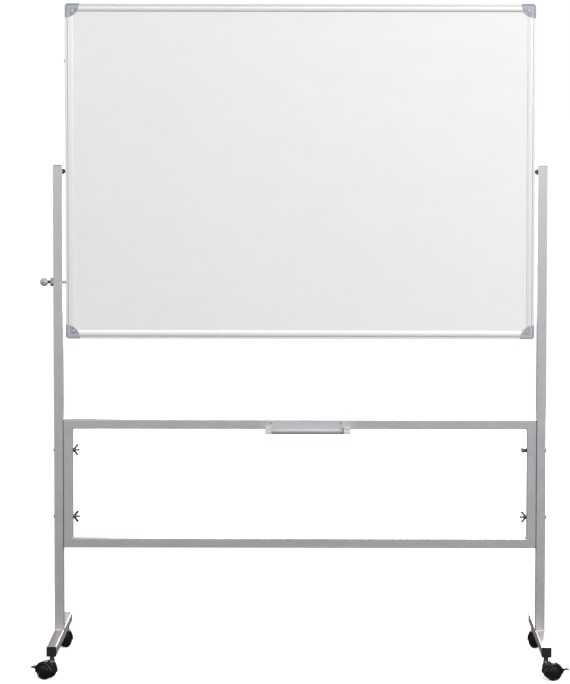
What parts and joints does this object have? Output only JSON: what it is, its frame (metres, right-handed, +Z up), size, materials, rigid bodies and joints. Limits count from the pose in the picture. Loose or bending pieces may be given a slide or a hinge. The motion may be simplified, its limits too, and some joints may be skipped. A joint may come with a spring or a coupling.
{
  "type": "revolving whiteboard on casters",
  "caption": "Free-standing double-sided whiteboard that turns over on pivots between two posts, with a lock pin, a bolted lower frame, a pen tray and casters.",
  "frame": {"origin": "on the floor, midway between the two posts and in their middle plane, within about 10 mm of the centre of the footprint", "axes": "+X to the user's right along the board's width, +Y away from the user (the front faces -Y), +Z up"},
  "size_m": [1.5817, 0.506, 1.98],
  "materials": {
    "silver_powder_coat": "satin powder coat",
    "grey_plastic": "matt moulded",
    "black_plastic": "satin moulded",
    "dark_zinc": "dark zinc plate",
    "bright_zinc": "bright zinc plate",
    "tray_paint": "satin paint",
    "cream_plastic": "matt moulded",
    "ball_grey": "polished",
    "white_enamel": "low-sheen dry-wipe enamel",
    "core": "raw board",
    "anodised_aluminium": "satin anodised",
    "corner_plastic": "matt moulded",
    "caster_nylon": "satin moulded nylon",
    "axle_steel": "turned"
  },
  "bodies": {
    "stand": {"left_post": "silver_powder_coat", "right_post": "silver_powder_coat", "post_caps": "grey_plastic", "left_foot": "silver_powder_coat", "right_foot": "silver_powder_coat", "foot_plugs": "black_plastic", "weld_beads": "silver_powder_coat", "lower_frame_top_rail": "silver_powder_coat", "lower_frame_bottom_rail": "silver_powder_coat", "lower_frame_left_stile": "silver_powder_coat", "lower_frame_right_stile": "silver_powder_coat", "carriage_bolts": "dark_zinc", "bolt_washers": "dark_zinc", "wing_nuts": "dark_zinc", "pivot_bolts": "dark_zinc", "pivot_flange_nuts": "dark_zinc", "pen_tray": "tray_paint", "tray_end_caps": "cream_plastic", "tray_screws": "bright_zinc", "lock_housing": "bright_zinc", "lock_spring": "bright_zinc", "caster_sockets": "dark_zinc", "caster_stems": "bright_zinc"},
    "panel": {"front_writing_sheet": "white_enamel", "back_writing_sheet": "white_enamel", "core_board": "core", "frame_profile_top": "anodised_aluminium", "frame_profile_bottom": "anodised_aluminium", "frame_profile_left": "anodised_aluminium", "frame_profile_right": "anodised_aluminium", "corner_cap_top_left": "corner_plastic", "corner_cap_top_right": "corner_plastic", "corner_cap_bottom_left": "corner_plastic", "corner_cap_bottom_right": "corner_plastic", "corner_cap_screws": "bright_zinc", "pivot_bushes": "black_plastic", "pivot_plates": "dark_zinc", "index_bushes": "bright_zinc"},
    "lock": {"lock_pin": "bright_zinc", "knob_ferrule": "black_plastic", "ball_knob": "ball_grey"},
    "front_left_caster": {"front_left_caster_hood": "caster_nylon", "front_left_caster_axle": "axle_steel"},
    "front_left_wheel_a": {"front_left_caster_wheel_a": "caster_nylon"},
    "front_left_wheel_b": {"front_left_caster_wheel_b": "caster_nylon"},
    "front_left_brake": {"front_left_brake_lever": "caster_nylon"},
    "front_right_caster": {"front_right_caster_hood": "caster_nylon", "front_right_caster_axle": "axle_steel"},
    "front_right_wheel_a": {"front_right_caster_wheel_a": "caster_nylon"},
    "front_right_wheel_b": {"front_right_caster_wheel_b": "caster_nylon"},
    "front_right_brake": {"front_right_brake_lever": "caster_nylon"},
    "rear_left_caster": {"rear_left_caster_hood": "caster_nylon", "rear_left_caster_axle": "axle_steel"},
    "rear_left_wheel_a": {"rear_left_caster_wheel_a": "caster_nylon"},
    "rear_left_wheel_b": {"rear_left_caster_wheel_b": "caster_nylon"},
    "rear_right_caster": {"rear_right_caster_hood": "caster_nylon", "rear_right_caster_axle": "axle_steel"},
    "rear_right_wheel_a": {"rear_right_caster_wheel_a": "caster_nylon"},
    "rear_right_wheel_b": {"rear_right_caster_wheel_b": "caster_nylon"}
  },
  "joints": [
    {"name": "board_flip", "type": "hinge", "parent": "stand", "child": "panel", "pos_m": [0, 0, 1.48], "axis": [1, 0, 0], "continuous": true},
    {"name": "lock_slide", "type": "slide", "parent": "stand", "child": "lock", "axis": [1, 0, 0], "range_m": [-0.006, 0.0055], "deforming": ["lock_spring"]},
    {"name": "front_left_swivel", "type": "hinge", "parent": "stand", "child": "front_left_caster", "pos_m": [-0.723, -0.23, 0.045], "axis": [0, 0, 1], "continuous": true},
    {"name": "front_left_wheel_a_spin", "type": "hinge", "parent": "front_left_caster", "child": "front_left_wheel_a", "pos_m": [-0.74082, -0.22092, 0.025], "axis": [-0.454, -0.891, 0], "continuous": true},
    {"name": "front_left_wheel_b_spin", "type": "hinge", "parent": "front_left_caster", "child": "front_left_wheel_b", "pos_m": [-0.74082, -0.22092, 0.025], "axis": [-0.454, -0.891, 0], "continuous": true},
    {"name": "front_left_brake_press", "type": "hinge", "parent": "front_left_caster", "child": "front_left_brake", "pos_m": [-0.76702, -0.20757, 0.031], "axis": [-0.454, -0.891, 0], "range_deg": [0, 13]},
    {"name": "front_right_swivel", "type": "hinge", "parent": "stand", "child": "front_right_caster", "pos_m": [0.723, -0.23, 0.045], "axis": [0, 0, 1], "continuous": true},
    {"name": "front_right_wheel_a_spin", "type": "hinge", "parent": "front_right_caster", "child": "front_right_wheel_a", "pos_m": [0.74256, -0.22584, 0.025], "axis": [-0.2079, 0.9781, 0], "continuous": true},
    {"name": "front_right_wheel_b_spin", "type": "hinge", "parent": "front_right_caster", "child": "front_right_wheel_b", "pos_m": [0.74256, -0.22584, 0.025], "axis": [-0.2079, 0.9781, 0], "continuous": true},
    {"name": "front_right_brake_press", "type": "hinge", "parent": "front_right_caster", "child": "front_right_brake", "pos_m": [0.77132, -0.21973, 0.031], "axis": [-0.2079, 0.9781, 0], "range_deg": [0, 13]},
    {"name": "rear_left_swivel", "type": "hinge", "parent": "stand", "child": "rear_left_caster", "pos_m": [-0.723, 0.23, 0.045], "axis": [0, 0, 1], "continuous": true},
    {"name": "rear_left_wheel_a_spin", "type": "hinge", "parent": "rear_left_caster", "child": "rear_left_wheel_a", "pos_m": [-0.73389, 0.21323, 0.025], "axis": [0.8387, -0.5446, 0], "continuous": true},
    {"name": "rear_left_wheel_b_spin", "type": "hinge", "parent": "rear_left_caster", "child": "rear_left_wheel_b", "pos_m": [-0.73389, 0.21323, 0.025], "axis": [0.8387, -0.5446, 0], "continuous": true},
    {"name": "rear_right_swivel", "type": "hinge", "parent": "stand", "child": "rear_right_caster", "pos_m": [0.723, 0.23, 0.045], "axis": [0, 0, 1], "continuous": true},
    {"name": "rear_right_wheel_a_spin", "type": "hinge", "parent": "rear_right_caster", "child": "rear_right_wheel_a", "pos_m": [0.73389, 0.21323, 0.025], "axis": [0.8387, 0.5446, 0], "continuous": true},
    {"name": "rear_right_wheel_b_spin", "type": "hinge", "parent": "rear_right_caster", "child": "rear_right_wheel_b", "pos_m": [0.73389, 0.21323, 0.025], "axis": [0.8387, 0.5446, 0], "continuous": true}
  ]
}
